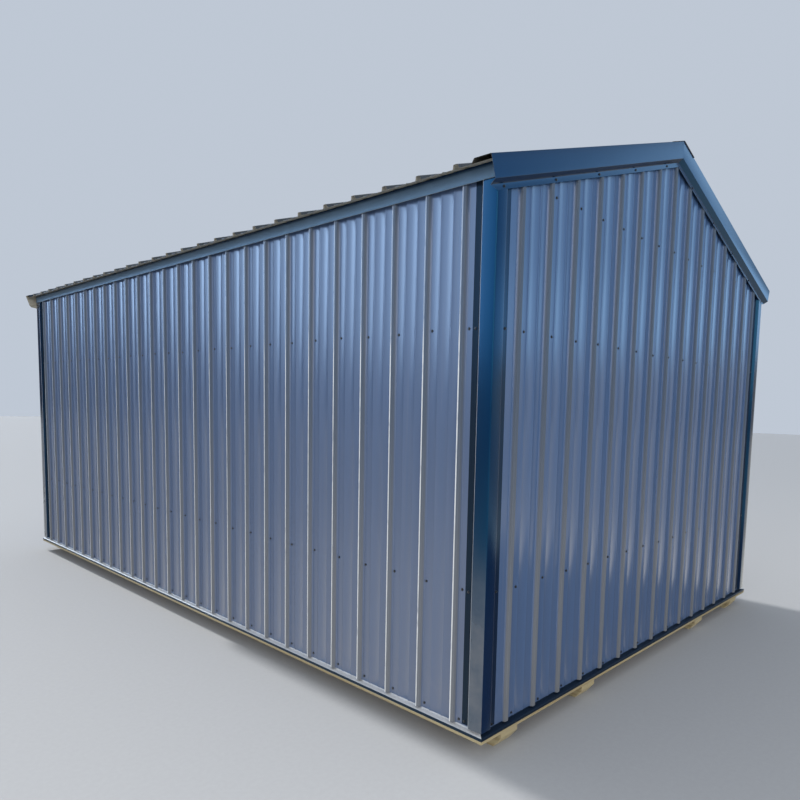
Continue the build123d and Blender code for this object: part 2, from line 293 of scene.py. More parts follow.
def bent_body(axes, line, start, end, rows=2, thick=TRIM):
    """Bent sheet: a line, and the same line moved left by the thickness, carried along the third axis.

    Every point of the section runs straight from start(a, b) to end(a, b), where a and b are its place in
    the section.
    """
    section = np.vstack([line, moved_left(line, thick)[::-1]])
    a, b = section.T
    low, high = start(a, b) + 0 * a, end(a, b) + 0 * a
    t = low + np.linspace(0, 1, rows)[:, None] * (high - low)
    a, b = a + 0 * t, b + 0 * t
    count, half = len(section), len(line)
    index = np.arange(half - 1)
    cap = np.stack([index, index + 1, count - 2 - index, count - 1 - index], 1)
    faces = [grid_faces(rows, count), cap + (rows - 1) * count, cap[:, ::-1]]
    if np.linalg.det(axes[1:]) < 0:
        faces = [group[:, ::-1] for group in faces]
    return placed(axes, np.stack([a, b, t], -1).reshape(-1, 3)), faces


def inner_marks(line, rows):
    """One for each corner on the inner face of a bent body, and zero on its outer face."""
    return np.tile(np.repeat([1.0, 0.0], len(line)), rows)


# Ribbed sheets

RIB_SHEAR = (RIB_BASE - RIB_CROWN) / 2 / RIB_HEIGHT
RIB_MITRE = math.tan(math.atan(1 / RIB_SHEAR) / 2)


def rib_half(level, layer):
    """Half the width of a major rib at a level, on a sheet raised by a layer over the one below."""
    return RIB_BASE / 2 + layer * RIB_MITRE - (level - layer) * RIB_SHEAR


def sheet_line(ribs, start, end, over):
    """Inner line of one sheet. Start or end is None where that edge laps at the outermost rib."""
    raised = SHEET + LAP_GAP if over else 0.0
    edge = raised if over else LAP_CUT
    runs = [] if start is None else [np.array([(start, 0)])]
    for index, middle in enumerate(ribs):
        laps_left, laps_right = start is None and index == 0, end is None and index == len(ribs) - 1
        layer = raised if laps_left or laps_right else 0.0
        crown = RIB_HEIGHT + layer
        left, right = edge if laps_left else 0.0, edge if laps_right else 0.0
        points = [(middle - rib_half(left, layer), left), (middle - rib_half(crown, layer), crown),
                  (middle + rib_half(crown, layer), crown), (middle + rib_half(right, layer), right)]
        if over and laps_left:
            points.insert(0, (points[0][0] - LAP_LIP, raised))
        if over and laps_right:
            points.append((points[-1][0] + LAP_LIP, raised))
        runs.append(np.array(points))
        if index < len(ribs) - 1:
            for step in range(MINOR_PER_PITCH):
                place = middle + RIB_PITCH * (step + 1) / (MINOR_PER_PITCH + 1)
                minor = [(place - MINOR_BASE / 2, 0), (place, MINOR_HEIGHT), (place + MINOR_BASE / 2, 0)]
                runs.append(np.array(minor))
    if end is not None:
        runs.append(np.array([(end, 0)]))
    return np.vstack(runs)


def bent_ribs(points):
    """The sheet's line with tight bends on the major ribs and soft ones on the minor ribs."""
    minor_crowns = np.flatnonzero(np.isclose(points[:, 1], MINOR_HEIGHT))
    runs, low = [], 0
    for place in minor_crowns:
        if place - 1 > low:
            runs.append((points[low:place], RIB_BEND))
        runs.append((points[place - 1:place + 2], MINOR_BEND))
        low = place + 1
    runs.append((points[low:], RIB_BEND))
    line = []
    for run, radius in runs:
        arc = rounded(run, radius) if len(run) > 2 else run
        line += list(arc if not line else arc[1:])
    return np.array(line)


def rib_places(timber_half, shift=0.0):
    """Middles of the major ribs, centred on the wall or shifted from there."""
    count = int(2 * (timber_half - RIB_MARGIN) / RIB_PITCH) + 1
    return shift + (np.arange(count) - (count - 1) / 2) * RIB_PITCH


def with_point(line, place):
    """The line with one more point where it crosses a place along the wall."""
    if not line[0, 0] < place < line[-1, 0]:
        return line
    index = int(np.searchsorted(line[:, 0], place))
    level = np.interp(place, line[:, 0], line[:, 1])
    return np.insert(line, index, (place, level), axis=0)


def sheet_row(name, axes, ribs, half, bottom, top, kind, material, glint=0):
    """One wall's or slope's sheets as one piece. Every second sheet covers its neighbours' edges.

    Glint is the sign of the side on which the ribs' outer bends are painted pale as a highlight, or 0.
    """
    count, rows = len(ribs), SHEET_ROWS[kind]
    laps = [-1] + list(range(FIRST_LAP_RIB, count - 1, RIBS_PER_SHEET)) + [count]
    bodies, levels, inner, bends = [], [], [], []
    for index, (low, high) in enumerate(zip(laps, laps[1:])):
        start, end = -half if low < 0 else None, half if high == count else None
        line = bent_ribs(sheet_line(ribs[max(low, 0):high + 1], start, end, index % 2 == 1))
        line = with_point(line, 0.0) + (0, SKIN_GAP)
        bodies.append(bent_body(axes, line, lambda a, b: bottom, top, rows, SHEET))
        section = np.concatenate([line[:, 1], line[::-1, 1]])
        levels.append(np.tile((section - SKIN_GAP) / RIB_HEIGHT, rows))
        inner.append(inner_marks(line, rows))
        off_rib = (line[:, 0] - ribs[0] + RIB_PITCH / 2) % RIB_PITCH - RIB_PITCH / 2
        high_up = line[:, 1] > SKIN_GAP + RIB_HEIGHT * GLINT_LEVEL
        bent = high_up & (off_rib * glint > RIB_CROWN / 2 - GLINT_INSET)
        bends.append(np.tile(np.concatenate([bent, bent[::-1]]), rows).astype(float))
    marks = {"level": levels, "inner": inner, "bend": bends}
    marks = {key: np.concatenate(values) for key, values in marks.items()}
    return piece(name, joined(bodies), f"{kind}_steel", material, **marks)


# Screws

def ring(radius, height, angles):
    """Closed ring about the outward axis.

    Each point lies at radius times cosine along, the height outwards and radius times minus sine up.
    """
    return np.stack([radius * np.cos(angles), height + 0 * angles, -radius * np.sin(angles)], 1)


def turned_body(rings):
    """Rings joined by quads and closed by a flat top."""
    columns = len(rings[0])
    top = np.arange(columns)[None] + (len(rings) - 1) * columns
    return np.concatenate(rings), [grid_faces(len(rings), columns), top]


def screw_head():
    """Hexagonal head on a round flange. The hexagon's radius is half its width / cos(angle to the flat)."""
    angles = np.arange(12) * math.pi / 6
    hexagon = HEAD_FLATS / 2 / np.cos((angles + math.pi / 6) % (math.pi / 3) - math.pi / 6)
    base = WASHER_THICK * FLANGE_SINK
    rim = base + FLANGE_THICK
    top = WASHER_THICK + HEAD_HEIGHT
    inwards, down = HEAD_BEVEL
    return turned_body([ring(FLANGE_RADIUS, base, angles), ring(FLANGE_RADIUS, rim, angles),
                        ring(hexagon, rim + HEAD_FOOT, angles), ring(hexagon, top - down, angles),
                        ring(hexagon - inwards, top, angles)])


def screw_washer():
    """Round sealing washer, squeezed a little wider at its foot."""
    angles = np.arange(12) * math.pi / 6
    edge = WASHER_THICK * WASHER_EDGE
    return turned_body([ring(WASHER_RADIUS, 0, angles), ring(WASHER_RADIUS, edge, angles),
                        ring(WASHER_RADIUS - WASHER_BEVEL, WASHER_THICK, angles)])


def copies(body, axes, places):
    """The body at each place, given as along, out and up, and turned about its axis by a random angle."""
    verts, groups = body
    turns = rng.uniform(0, 2 * math.pi, len(places))[:, None]
    a, b, t = verts.T
    along = a * np.cos(turns) - t * np.sin(turns)
    up = a * np.sin(turns) + t * np.cos(turns)
    local = np.stack([along, b + 0 * turns, up], -1)
    offsets = np.arange(len(places))[:, None, None] * len(verts)
    points = placed(axes, (np.asarray(places)[:, None] + local).reshape(-1, 3))
    return points, [(group[None] + offsets).reshape(-1, group.shape[1]) for group in groups]


def screws(name, slot, sets):
    """Heads and washers of one group of screws. Each set is a pair of axes and places."""
    for kind, body, material in (("heads", screw_head(), HEAD_PAINT), ("washers", screw_washer(), RUBBER)):
        placed_sets = [copies(body, axes, places) for axes, places in sets]
        piece(f"{name}_{kind}", joined(placed_sets), slot, material)


def screw_grid(columns, out, rows):
    """Places at every column and row, at one distance outwards, each a little off the true line."""
    a, t = np.meshgrid(columns, rows)
    places = np.stack([a.ravel(), np.full(a.size, out), t.ravel()], 1)
    return places + rng.uniform(-1, 1, places.shape) * SCREW_SCATTER


# Materials

class Value:
    """A socket of a node tree. Arithmetic on it adds Math nodes."""

    def __init__(self, nodes, socket):
        self.nodes = nodes
        self.socket = socket

    def math(self, operation, *inputs, clamp=False):
        settings = {"operation": operation, "use_clamp": clamp}
        return self.nodes.node("Math", settings, dict(enumerate(inputs)))

    def __add__(self, other):
        return self.math("ADD", self, other)

    def __sub__(self, other):
        return self.math("SUBTRACT", self, other)

    def __mul__(self, other):
        return self.math("MULTIPLY", self, other)

    def __pow__(self, other):
        return self.math("POWER", self, other)

    def __rsub__(self, other):
        return self.math("SUBTRACT", other, self)

    __radd__ = __add__
    __rmul__ = __mul__

    def sine(self):
        return self.math("SINE", self)

    def clamped(self):
        return self.math("ADD", self, 0.0, clamp=True)

    def between(self, low, high):
        """0 below low, 1 above high and a smooth step between them."""
        return self.nodes.node("MapRange", {"interpolation_type": "SMOOTHSTEP"},
                               {"Value": self, "From Min": low, "From Max": high})


class Nodes:
    """A node tree and the place it is looked up at: node() adds any node."""

    def __init__(self, tree, coordinates):
        self.tree = tree
        self.place = self.node("TexCoord", {}, {}, coordinates)
        self.x, self.y, self.z = (self.node("SeparateXYZ", {}, {0: self.place}, axis) for axis in "XYZ")

    def node(self, kind, settings, inputs, output=0):
        """A node of a kind with its settings and its inputs set. Returns one of its outputs."""
        node = self.tree.nodes.new("ShaderNode" + kind)
        for key, value in settings.items():
            setattr(node, key, value)
        for key, value in inputs.items():
            if isinstance(value, Value):
                self.tree.links.new(value.socket, node.inputs[key])
            else:
                node.inputs[key].default_value = value
        return Value(self, node.outputs[output])

    def mix(self, factor, first, second):
        """A colour between two colours."""
        return self.node("Mix", {"data_type": "RGBA"}, {0: factor, 6: first, 7: second}, 2)

    def lit(self, level, colour):
        """A colour times a level."""
        return self.node("VectorMath", {"operation": "SCALE"}, {0: colour[:3], "Scale": level})

    def reflected(self):
        """One where a glossy surface looks at this, and zero elsewhere."""
        return self.node("LightPath", {}, {}, "Is Glossy Ray")


class Finish(Nodes):
    """One material. The shader's own sockets take constants."""

    def __init__(self, name, **constants):
        self.material = bpy.data.materials.new(name)
        self.material.use_nodes = True
        super().__init__(self.material.node_tree, "Object")
        self.shader = self.tree.nodes["Principled BSDF"]
        for key, value in constants.items():
            self.set(key, value)

    def set(self, key, value):
        """Sets or links a socket of the shader, with its name in lower case and underscores."""
        socket = self.shader.inputs[key.replace("_", " ").title().replace("Ior", "IOR")]
        if isinstance(value, Value):
            self.tree.links.new(value.socket, socket)
        else:
            socket.default_value = value

    def scaled(self, x, y, z):
        """The place on the object, stretched along each axis."""
        return self.node("VectorMath", {"operation": "MULTIPLY"}, {0: self.place, 1: (x, y, z)})

    def mix_shader(self, factor, colour):
        """Mixes the shader with a second one that is dull and hardly shines."""
        output = self.tree.nodes["Material Output"]
        inputs = {"Base Color": colour, "Roughness": DULL_ROUGHNESS, "Specular IOR Level": DULL_SHINE}
        dull = self.node("BsdfPrincipled", {}, inputs)
        both = self.node("MixShader", {}, {0: factor, 1: Value(self, self.shader.outputs[0]), 2: dull})
        self.tree.links.new(both.socket, output.inputs["Surface"])

    def noise(self, scale, detail=3.0, roughness=0.55, place=None):
        """Soft random values from 0 to 1."""
        inputs = {"Vector": place or self.place, "Scale": scale, "Detail": detail, "Roughness": roughness}
        return self.node("TexNoise", {}, inputs)

    def cells(self, scale, place):
        """Distance to the nearest of many random points."""
        return self.node("TexVoronoi", {}, {"Vector": place, "Scale": scale})

    def bump(self, height, distance):
        """Bumps on the surface, as a height in units of the distance."""
        self.set("normal", self.node("Bump", {}, {"Height": height, "Distance": distance}))

    def attribute(self, name):
        """A value kept on the mesh, one a corner."""
        return self.node("Attribute", {"attribute_name": name}, {}, "Fac")


def grey(value):
    """A grey as a colour."""
    return value, value, value, 1.0


def shade(colour, factor):
    """A darker colour, times a factor."""
    return tuple(channel * factor for channel in colour[:3]) + (1.0,)


# colour of dust, also used for painted light and painted reflection
DUST_AND_SHEEN_TONE = (0.27, 0.245, 0.225, 1.0)
BACKER = (0.42, 0.38, 0.30, 1.0)
SLATE_BLUE = (0.052, 0.105, 0.220, 1.0)
CHARCOAL = (0.016, 0.024, 0.032, 1.0)
# painted highlight on the ribs' outer bends
GLINT_PALE = (0.84, 0.83, 0.80, 1.0)
# painted reflection on the ribs' crowns: dark high up, where they would mirror dark sky, pale low down,
# where they would mirror the ground
CROWN_DARK_HIGH = (0.070, 0.088, 0.112, 1.0)
CROWN_PALE_LOW = (0.17, 0.172, 0.172, 1.0)
NAVY = (0.0015, 0.012, 0.046, 1.0)
NAVY_SHINE = (0.10, 0.58, 1.0, 1.0)
# painted reflection of the sky on the eave trim
EAVE_SKY_SHEEN = (0.24, 0.37, 0.52, 1.0)
DULL_NAVY = (0.006, 0.012, 0.020, 1.0)
DULL_ROUGHNESS = 0.6
DULL_SHINE = 0.1
TRIM_ROUGHNESS = 0.13
OVERHANG_SHADE_DEPTH = 0.022            # height below the walls' top kept dark, without the painted sheen: painted shade of the overhang
RING_WIDTH = 0.0062
PITH = (0.043, 0.118)        # place of the rings' middle, beside the timber


def sheet_finish(name, colour, gloss, painted_light, crown_dust_and_reflection):
    """Painted rolled steel: dust in streaks and at the foot, a paler cast of painted light, dull crowns with
    painted reflection, outer bends painted pale as a highlight, backer inside.
    """
    finish = Finish(name)
    mottle = finish.noise(2.2, 3.0)
    streaks = finish.noise(1.0, 4.0, 0.6, finish.scaled(38.0, 38.0, 0.9))
    fine = finish.noise(900.0, 2.0)
    crown = finish.attribute("level").between(0.15, 0.6)
    bend = finish.attribute("bend").between(0.55, 0.85)
    inner = finish.attribute("inner")
    # Dust at the foot and in streaks is real; the steel also pales towards the ground as a painted
    # reflection of it, and over the whole sheet by the painted light share
    low = 1.0 - finish.z.between(0.3, 2.0)
    foot = (1.0 - finish.z.between(0.12, 0.5)) * finish.noise(7.0, 5.0, 0.7).between(0.30, 0.72)
    dust_and_sheen = (foot * 0.08 + streaks.between(0.5, 0.8) * 0.06 + low * 0.07 + painted_light).clamped()
    painted = finish.mix(streaks * 0.5 + mottle * 0.3, colour, shade(colour, 0.86))
    # Painted highlight: the outer bends go pale where sunlight would catch them, and less so above about 2
    # m, where the eave's shadow would fall
    glint = bend * (0.25 + (1.0 - finish.z.between(1.85, 2.1)) * 0.75)
    glint = glint * finish.noise(1.0, 3.0, 0.6, finish.scaled(60.0, 60.0, 11.0)).between(0.1, 0.5)
    outside = finish.mix(glint, finish.mix(dust_and_sheen, painted, DUST_AND_SHEEN_TONE), GLINT_PALE)
    inside = finish.mix(mottle * 0.4, BACKER, shade(BACKER, 0.8))
    finish.set("base_color", finish.mix(inner, outside, inside))
    finish.set("roughness", dust_and_sheen * 0.3 + glint * 0.3 + fine * 0.04 + inner * 0.3 + gloss)
    finish.bump(fine * 0.2 + finish.noise(9.0, 3.0), 0.0002)
    # The crowns take a dull coat: dust, with painted reflection in its dark top and pale foot
    finish.mix_shader(crown * (1.0 - bend) * crown_dust_and_reflection, finish.mix(low, CROWN_DARK_HIGH, CROWN_PALE_LOW))
    return finish.material


def trim_finish(name, dust, painted_light):
    """Painted trim: dark colour, a little dust and small scuffs, a painted sheen where asked, pale grey as a
    painted highlight where marked, and a dull dark paint where marked so: painted shade on flanges and base
    trims, weathering on the roof trims.
    """
    finish = Finish(name, specular_tint=NAVY_SHINE)
    mottle = finish.noise(3.0, 4.0)
    fine = finish.noise(900.0, 2.0)
    bare, inner, dull, dusty = (finish.attribute(key) for key in ("bare", "inner", "dull", "dusty"))
    scuffs = finish.noise(24.0, 8.0, 0.75).between(0.66, 0.84)
    # At the foot: a little dust on every face, and far more on the side face as a painted reflection of the
    # ground
    foot = (1.0 - finish.z.between(0.45, 1.10)) * finish.noise(9.0, 5.0, 0.6).between(-0.3, 0.9)
    # The pale sheen stays off the top, where the overhang would shade it: painted shade
    overhang_shade = finish.z.between(WALL_TOP - OVERHANG_SHADE_DEPTH, WALL_TOP)
    dust_and_sheen = (foot * (dusty * 0.5 + 0.02) + scuffs * 0.02 + (1.0 - overhang_shade) * painted_light).clamped()
    painted = finish.mix(mottle, NAVY, shade(NAVY, 0.8))
    # pale grey of the painted highlights
    pale_glint = finish.mix(mottle, grey(0.62), grey(0.50))
    outside = finish.mix(bare, finish.mix(dust_and_sheen, painted, dust), pale_glint)
    finish.set("base_color", finish.mix(inner, outside, BACKER))
    finish.set("roughness", dust_and_sheen * 0.4 + fine * 0.04 + bare * 0.25 + inner * 0.3 + TRIM_ROUGHNESS)
    finish.bump(fine * 0.2 + finish.noise(5.0, 2.0), 0.0004)
    # Dark dull paint where marked: painted shade on the flanges and the base trims, weathering on the roof
    # trims
    finish.mix_shader(dull * (1.0 - bare), DULL_NAVY)
    return finish.material


def timber_finish(name, axis, pale, dark):
    """Sawn softwood along one axis: rings about a wandering pith, fibres, knots and grey blotches.

    A ring's place is the distance from the pith, so long faces show stripes and ends show arcs.
    """
    finish = Finish(name, specular_ior_level=0.3)
    stretch = [26.0, 26.0, 26.0]
    stretch["XYZ".index(axis)] = 0.8
    along = {"X": finish.x, "Y": finish.y, "Z": finish.z}
    across = [along[other] for other in "XYZ" if other != axis]
    wander = finish.noise(1.0, 2.0, 0.5, finish.scaled(*[value / 9 for value in stretch]))
    u, v = (value + shift for value, shift in zip(across, PITH))
    distance = (u * u + v * v) ** 0.5 + wander * 0.05
    rings = (distance * (2 * math.pi / RING_WIDTH)).sine() * 0.5 + 0.5
    fibres = finish.noise(9.0, 4.0, 0.6, finish.scaled(*stretch))
    knot_places = finish.scaled(*[1.0 if value < 1 else 3.2 for value in stretch])
    knots = 1.0 - finish.cells(3.4, knot_places).between(0.03, 0.10)
    blotch = finish.noise(5.0, 4.0, 0.6)
    grain = (rings ** 2.2 * 0.55 + fibres * 0.45).clamped()
    colour = finish.mix(grain, pale, dark)
    colour = finish.mix(knots, colour, shade(dark, 0.35))
    colour = finish.mix(blotch.between(0.5, 0.8) * 0.35, colour, grey(0.20))
    finish.set("base_color", colour)
    finish.set("roughness", fibres * 0.15 + 0.66)
    finish.bump(fibres * 0.7 + rings * 0.3, 0.0006)
    return finish.material


def board_finish(name):
    """Pressed floor board: layers of pale flakes at many angles."""
    finish = Finish(name, specular_ior_level=0.3)
    warp = finish.noise(9.0, 3.0)
    flakes = finish.cells(46.0, finish.scaled(1.0, 2.3, 1.0))
    others = finish.cells(31.0, finish.scaled(2.1, 1.0, 1.0))
    tone = (flakes * 0.6 + others * 0.5 + warp * 0.3).clamped()
    finish.set("base_color", finish.mix(tone, (0.46, 0.33, 0.19, 1.0), (0.24, 0.15, 0.075, 1.0)))
    finish.set("roughness", 0.62 + flakes * 0.2)
    finish.bump(tone, 0.0008)
    return finish.material


def plain_finish(name, colour, roughness):
    """An even finish with a slight grain in its colour, gloss and surface."""
    finish = Finish(name)
    grain = finish.noise(300.0, 3.0)
    finish.set("base_color", finish.mix(grain, colour, shade(colour, 0.75)))
    finish.set("roughness", roughness + grain * 0.12)
    finish.bump(grain, 0.0002)
    return finish.material


# The side walls take far more of the pale painted light than the gables, as if lit by the sunlit ground
# beside them
WALL_PAINT = sheet_finish("slate_blue_wall_paint", SLATE_BLUE, 0.15, 0.13, 0.8)
GABLE_PAINT = sheet_finish("slate_blue_gable_paint", SLATE_BLUE, 0.15, 0.02, 0.85)
ROOF_PAINT = sheet_finish("charcoal_roof_paint", CHARCOAL, 0.22, 0.02, 0.0)
TRIM_PAINT = trim_finish("dark_blue_trim_paint", DUST_AND_SHEEN_TONE, 0.0)
# Painted reflection: the eave trim carries a pale sky-blue sheen below its top
EAVE_PAINT = trim_finish("eave_paint_with_painted_sheen", EAVE_SKY_SHEEN, 0.5)
HEAD_PAINT = plain_finish("dark_screw_paint", (0.012, 0.017, 0.026, 1.0), 0.24)
RUBBER = plain_finish("black_washer_rubber", (0.014, 0.014, 0.015, 1.0), 0.62)
TREATED_TONES = (0.46, 0.39, 0.23, 1.0), (0.27, 0.20, 0.10, 1.0)
FRAMING_TONES = (0.56, 0.42, 0.25, 1.0), (0.36, 0.22, 0.11, 1.0)
TREATED = {axis: timber_finish(f"treated_pine_{axis.lower()}", axis, *TREATED_TONES) for axis in "XY"}
FRAMING = {axis: timber_finish(f"framing_pine_{axis.lower()}", axis, *FRAMING_TONES) for axis in "XYZ"}
BOARD = board_finish("pressed_floor_board")


def finish_node(name, material):
    """Gives a solid its finish."""
    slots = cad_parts[name].data.materials
    slots.clear()
    slots.append(material)


TIMBER_AXES = {
    "floor_joists": "X", "side_rim_boards": "Y", "end_rim_boards": "X", "wall_posts": "Z",
    "side_wall_girts": "Y", "gable_girts": "X", "roof_trusses": "X", "roof_purlins": "Y",
}
for node, axis in TIMBER_AXES.items():
    finish_node(node, FRAMING[axis])
for wall in ENDS + SIDES:
    finish_node(f"{wall}_base_batten", TREATED["X" if wall in ENDS else "Y"])
finish_node("floor_deck", BOARD)


# Sheets

WALL_RIBS = rib_places(HALF_LENGTH)
GABLE_RIBS = rib_places(HALF_WIDTH)
PURLIN_ROWS = np.linspace(FIRST_PURLIN, SLOPE_LENGTH - LAST_PURLIN, PURLINS)


def gable_top(a, b):
    """Height of the cut under the roof: the peak less the slope times the distance from the middle."""
    return PEAK - SHEET_TOP_GAP - np.abs(a) * SLOPE


for side in SIDES:
    hand = 1 if side == "left" else -1
    walls = sheet_row(f"{side}_wall_skin", wall_axes(side), WALL_RIBS, HALF_LENGTH - SHEET_CORNER_GAP,
                      WALL_FOOT, lambda a, b: WALL_TOP, "wall", WALL_PAINT, hand)
    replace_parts(walls, f"{side}_wall_sheets")
    roof_half = HALF_LENGTH + FACE_OUT + RAKE_OVERHANG - 2 * TRIM
    roof_ribs = rib_places(HALF_LENGTH, hand * ROOF_RIB_SHIFT)
    roof = sheet_row(f"{side}_roof_skin", slope_axes(side), roof_ribs, roof_half,
                     EAVE_START, lambda a, b: SLOPE_LENGTH - RIDGE_OPENING, "roof", ROOF_PAINT)
    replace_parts(roof, f"{side}_roof_sheets")
for end in ENDS:
    gable = sheet_row(f"{end}_gable_skin", wall_axes(end), GABLE_RIBS, HALF_WIDTH - SHEET_CORNER_GAP,
                      WALL_FOOT, gable_top, "wall", GABLE_PAINT)
    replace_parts(gable, f"{end}_gable_sheets")


# Trims, each a line through its bends carried along the wall, with its thickness outwards

def trim_piece(name, node, axes, lines, start, end, radius=TRIM_BEND, material=TRIM_PAINT, **places):
    """A trim made of one bent sheet, or of several that lap. Places give the marked parts of its section."""
    lines = [rounded(line, radius) for line in lines]
    spans = zip(start, end) if isinstance(start, list) else [(start, end)]
    body = joined([bent_body(axes, line, *span) for line, span in zip(lines, spans)])
    sections = [np.tile(np.vstack([line, moved_left(line, TRIM)[::-1]]), (2, 1)) for line in lines]
    marks = {"inner": np.concatenate([inner_marks(line, 2) for line in lines])}
    for key, value in places.items():
        marks[key] = np.concatenate([value(*section.T) for section in sections]).astype(float)
    made = piece(name, body, "trim_steel", material, **marks)
    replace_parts(made, node)


def corner_leg(face):
    """Half of a corner trim's line, as along and out: flange on the flat of the sheets, and bevel."""
    face_end = FACE_OUT - face
    foot = face_end - TRIM_BEVEL
    return [(foot - TRIM_FLANGE, TRIM_SEAT), (foot, TRIM_SEAT), (face_end, FACE_IN)]


def corner_trim(side, end):
    """Corner trim: a face on both walls, each with a bevel and a flange."""
    hand_x, hand_y = (-1 if side == "left" else 1), (-1 if end == "front" else 1)
    origin = (hand_x * HALF_WIDTH, hand_y * HALF_LENGTH, 0)
    axes = np.array([origin, (hand_x, 0, 0), (0, hand_y, 0), (0, 0, 1)], float)
    side_leg = [(out, along) for along, out in corner_leg(CORNER_FACE["side"])]
    line = corner_leg(CORNER_FACE["gable"]) + [(FACE_IN, FACE_IN)] + side_leg[::-1]
    side_bend, gable_bend = (FACE_OUT - CORNER_FACE[kind] for kind in ("side", "gable"))

    def bare(a, b):
        """The bends between the faces and their bevels, painted pale as a highlight."""
        beside = (np.abs(b - side_bend) < BEND_MARK) & (a > FACE_OUT - 3 * MM)
        before = (np.abs(a - gable_bend) < BEND_MARK) & (b > FACE_OUT - 2 * MM)
        return beside + before * GABLE_BEND_GLINT

    def dull(a, b):
        """The flanges, which stand in the bevels' shade."""
        flange = np.minimum(a, b) < np.where(a > b, side_bend, gable_bend) - TRIM_BEVEL + 1 * MM
        return flange * np.where(a > b, FLANGE_SHADE["side"], FLANGE_SHADE["gable"])

    def dusty(a, b):
        """The face on the side wall, which takes a painted reflection of the ground towards its foot."""
        return (a > FACE_IN - 0.2 * MM) & (b < FACE_IN)

    name = f"{end}_{side}_corner_trim"
    trim_piece(f"{name}_bent", name, axes, [line], lambda a, b: CORNER_FOOT,
               lambda a, b: WALL_TOP - CORNER_TOP_GAP, CORNER_BEND, bare=bare, dull=dull, dusty=dusty)


def base_trim(wall):
    """Base trim, mitred at the corners: flange behind the sheets, ledge, and drop over the batten."""
    back = (SKIN_GAP - TRIM) / 2
    lip = BATTEN + TRIM_GAP
    line = [(back, LEDGE + BASE_FLANGE), (back, LEDGE + back), (lip, LEDGE + back), (lip, BASE_FOOT)]
    half = half_run(wall) - MITRE_GAP
    # The side walls' ledges are painted pale as a highlight.
    bright = 1.0 if wall in SIDES else 0.0
    trim_piece(f"{wall}_base_trim_bent", f"{wall}_base_trim", section_axes(wall), [line],
               lambda a, b: -half - a, lambda a, b: half + a,
               bare=lambda a, b: (b > LEDGE) * bright, dull=lambda a, b: np.full(len(a), BASE_SHADE))


def eave_trim(side):
    """Fascia under the eave, in two lengths: the second one's face covers the first one's at the lap."""
    lift = (SKIN_GAP - TRIM) / 2 / math.cos(PITCH)
    face = FACE_OUT + TRIM_GAP
    top = EAVE_HEIGHT - face * SLOPE + lift
    flange = (-EAVE_FLANGE, EAVE_HEIGHT + EAVE_FLANGE * SLOPE + lift)
    kick_top, foot = top - EAVE_DEPTH + EAVE_KICK, top - EAVE_DEPTH
    shape = np.array([(face, top), (face, kick_top), (face + EAVE_KICK, foot)])
    over = shape + (TRIM + LAP_GAP, 0)
    reach = HALF_LENGTH + FACE_OUT
    lap = EAVE_LAP_PLACE * (1 if side == "left" else -1)
    low, high = lap - EAVE_LAP / 2, lap + EAVE_LAP / 2
    whole = np.vstack([[flange], shape])
    trim_piece(f"{side}_eave_trim_bent", f"{side}_eave_trim", section_axes(side), [whole, over, whole],
               [lambda a, b: -reach, lambda a, b: low, lambda a, b: high],
               [lambda a, b: high - EAVE_LAP_STEP, lambda a, b: high, lambda a, b: reach],
               material=EAVE_PAINT)


RAKE_FASCIA = FACE_OUT + RAKE_OVERHANG - TRIM
RAKE_RETURN_FOOT = FACE_OUT + TRIM - RAKE_DEPTH - RAKE_RETURN_DROP


def rake_trim(side, end):
    """Verge trim: flange on the roof, raised leg, fascia, sloping return and kick down the gable."""
    origin, along, out, up = slope_axes(side)
    hand = -1 if (side == "left") == (end == "front") else 1
    axes = np.array([origin + hand * HALF_LENGTH * along, hand * along, out, up])
    leg_end = RAKE_FASCIA - RAKE_ROOF_LEG
    wall = FACE_OUT + TRIM_GAP
    foot = RAKE_RETURN_FOOT
    on_roof = [(leg_end - TRIM_BEVEL - TRIM_FLANGE, TRIM_SEAT), (leg_end - TRIM_BEVEL, TRIM_SEAT),
               (leg_end, FACE_IN), (RAKE_FASCIA, FACE_IN)]
    line = on_roof + [(RAKE_FASCIA, foot + RAKE_RETURN_DROP), (wall, foot), (wall, foot - RAKE_KICK)]
    c, s = math.cos(PITCH), math.sin(PITCH)

    def start(a, b):
        """The eave, or the corner trim's face for the kick."""
        return np.where(b < foot - 2 * TRIM, (b * s - FACE_OUT) / c, EAVE_START)

    def dull(a, b):
        """The flange and the leg on the roof, which weather most."""
        return ((a < RAKE_FASCIA - BEND_MARK) & (b > 0)) * ROOF_TRIM_DULL

    name = f"{end}_{side}_rake_trim"
    trim_piece(f"{name}_bent", name, axes, [line], start,
               lambda a, b: (HALF_WIDTH + b * s - MITRE_GAP) / c, dull=dull)


def ridge_cap():
    """Cap along the ridge, with one bend."""
    reach = RIDGE_WING * math.cos(PITCH)
    top = PEAK + CAP_OUT / math.cos(PITCH)
    line = [(-reach, top - reach * SLOPE), (0, top), (reach, top - reach * SLOPE)]
    length = HALF_LENGTH + FACE_OUT + RAKE_OVERHANG + RIDGE_END
    axes = np.array([(0, 0, 0), (1, 0, 0), (0, 0, 1), (0, -1, 0)], float)
    trim_piece("ridge_cap_bent", "ridge_cap", axes, [line], lambda a, b: -length, lambda a, b: length,
               RIDGE_BEND, dull=lambda a, b: np.full(len(a), ROOF_TRIM_DULL))


for wall in ENDS + SIDES:
    base_trim(wall)
for side in SIDES:
    eave_trim(side)
    for end in ENDS:
        corner_trim(side, end)
        rake_trim(side, end)
ridge_cap()


# Skids

